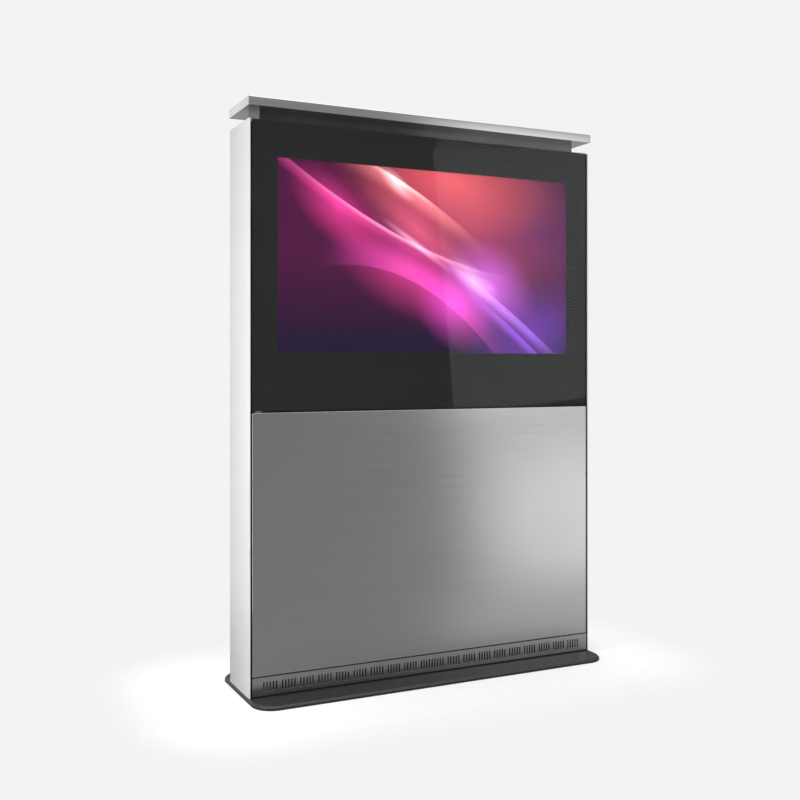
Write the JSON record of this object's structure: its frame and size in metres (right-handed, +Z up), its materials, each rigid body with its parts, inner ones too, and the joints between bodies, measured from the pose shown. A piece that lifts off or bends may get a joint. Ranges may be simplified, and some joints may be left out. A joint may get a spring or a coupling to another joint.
{
  "type": "touchscreen kiosk",
  "caption": "Free-standing shallow kiosk cabinet with a glass touchscreen door over a metal service door, side cam locks, fan-cooled neck, raised hood and flat base plate.",
  "frame": {"origin": "on the floor, centred under the base plate", "axes": "+Z up, the screen faces -Y, +X is to the right of someone looking at the screen"},
  "size_m": [1.428, 0.46, 2.088],
  "materials": {
    "dark_base": "fine textured charcoal powder coat",
    "black_frame": "satin black powder coat",
    "silver_panel": "satin silver paint",
    "grey_front": "fine brushed, clear anodised, slightly glossy",
    "hood_silver": "brushed, clear anodised",
    "dark_neck": "satin dark grey",
    "steel": "zinc plated",
    "galvanised": "galvanised sheet",
    "lock_steel": "satin chrome",
    "nylon": "moulded, matte",
    "seal_rubber": "closed-cell sponge",
    "filter_foam": "open-cell mat",
    "glass_clear": "toughened, clear, polished",
    "black_print": "black ceramic print behind glass",
    "film": "clear conductive film",
    "panel_cell": "lit display face",
    "case_grey": "grey coated case",
    "kit_case": "plain sheet case",
    "kit_black": "black anodised, finned",
    "kit_plastic": "light grey moulded",
    "toggle_blue": "moulded",
    "knob_red": "moulded",
    "fan_black": "moulded"
  },
  "bodies": {
    "cabinet": {"base_plate": "dark_base", "floor_pan": "black_frame", "cabinet_bolts": "steel", "gland_plate": "galvanised", "cable_glands": "nylon", "front_posts": "black_frame", "rear_posts": "black_frame", "cross_rails": "black_frame", "side_rails": "black_frame", "door_jambs": "black_frame", "front_frame": "black_frame", "side_panel_left": "silver_panel", "side_panel_right": "silver_panel", "rear_panel_lower": "silver_panel", "rear_panel_upper": "silver_panel", "rear_screws": "steel", "top_cover": "silver_panel", "neck_duct": "dark_neck", "hood_base": "hood_silver", "hood_shell": "hood_silver", "vent_strip": "grey_front", "filter_tray": "galvanised", "filter_mat": "filter_foam", "display_door_seal": "seal_rubber", "service_door_seal": "seal_rubber", "pivot_brackets": "steel", "pivot_pins": "lock_steel", "fan_frames": "fan_black", "fan_guards": "steel", "equipment_plate": "galvanised", "media_player": "kit_black", "power_supply": "kit_case", "din_rail": "steel", "breaker_body": "kit_plastic", "thermostat_body": "kit_plastic", "terminal_blocks": "kit_plastic", "cable_duct": "kit_plastic", "lock_barrels": "lock_steel"},
    "display_door": {"front_glass": "glass_clear", "border_mask": "black_print", "touch_film": "film", "display_cell": "panel_cell", "display_chassis": "case_grey", "display_electronics": "kit_case", "display_rails": "galvanised", "display_door_frame": "black_frame", "display_door_fittings": "steel"},
    "service_door": {"service_door_skin": "grey_front", "service_door_frame": "black_frame", "service_door_fittings": "steel"},
    "hook_1": {"lock_hook_1": "lock_steel"},
    "hook_2": {"lock_hook_2": "lock_steel"},
    "hook_3": {"lock_hook_3": "lock_steel"},
    "hook_4": {"lock_hook_4": "lock_steel"},
    "rotor_1": {"fan_rotor_1": "fan_black"},
    "rotor_2": {"fan_rotor_2": "fan_black"},
    "rotor_3": {"fan_rotor_3": "fan_black"},
    "rotor_4": {"fan_rotor_4": "fan_black"},
    "toggle": {"breaker_toggle": "toggle_blue"},
    "knob": {"thermostat_knob": "knob_red"}
  },
  "joints": [
    {"name": "display_door_hinge", "type": "hinge", "parent": "cabinet", "child": "display_door", "pos_m": [-0.677, -0.0988, 1.506], "axis": [0, 0, -1], "range_deg": [0, 95]},
    {"name": "service_door_hinge", "type": "hinge", "parent": "cabinet", "child": "service_door", "pos_m": [-0.677, -0.0988, 0.541], "axis": [0, 0, -1], "range_deg": [0, 95]},
    {"name": "lock_turn_1", "type": "hinge", "parent": "cabinet", "child": "hook_1", "pos_m": [0.69, -0.0496, 0.24], "axis": [1, 0, 0], "range_deg": [0, 90]},
    {"name": "lock_turn_2", "type": "hinge", "parent": "cabinet", "child": "hook_2", "pos_m": [0.69, -0.0496, 0.84], "axis": [1, 0, 0], "range_deg": [0, 90]},
    {"name": "lock_turn_3", "type": "hinge", "parent": "cabinet", "child": "hook_3", "pos_m": [0.69, -0.0496, 1.16], "axis": [1, 0, 0], "range_deg": [0, 90]},
    {"name": "lock_turn_4", "type": "hinge", "parent": "cabinet", "child": "hook_4", "pos_m": [0.69, -0.0496, 1.86], "axis": [1, 0, 0], "range_deg": [0, 90]},
    {"name": "fan_spin_1", "type": "hinge", "parent": "cabinet", "child": "rotor_1", "pos_m": [-0.4473, -0.007, 1.9985], "axis": [0, 0, 1], "continuous": true},
    {"name": "fan_spin_2", "type": "hinge", "parent": "cabinet", "child": "rotor_2", "pos_m": [-0.1491, -0.007, 1.9985], "axis": [0, 0, 1], "continuous": true},
    {"name": "fan_spin_3", "type": "hinge", "parent": "cabinet", "child": "rotor_3", "pos_m": [0.1491, -0.007, 1.9985], "axis": [0, 0, 1], "continuous": true},
    {"name": "fan_spin_4", "type": "hinge", "parent": "cabinet", "child": "rotor_4", "pos_m": [0.4473, -0.007, 1.9985], "axis": [0, 0, 1], "continuous": true},
    {"name": "breaker_switch", "type": "hinge", "parent": "cabinet", "child": "toggle", "pos_m": [0.238, 0.0188, 0.55], "axis": [1, 0, 0], "range_deg": [0, 40]},
    {"name": "thermostat_turn", "type": "hinge", "parent": "cabinet", "child": "knob", "pos_m": [0.308, 0.0138, 0.55], "axis": [0, -1, 0], "range_deg": [0, 270]}
  ]
}
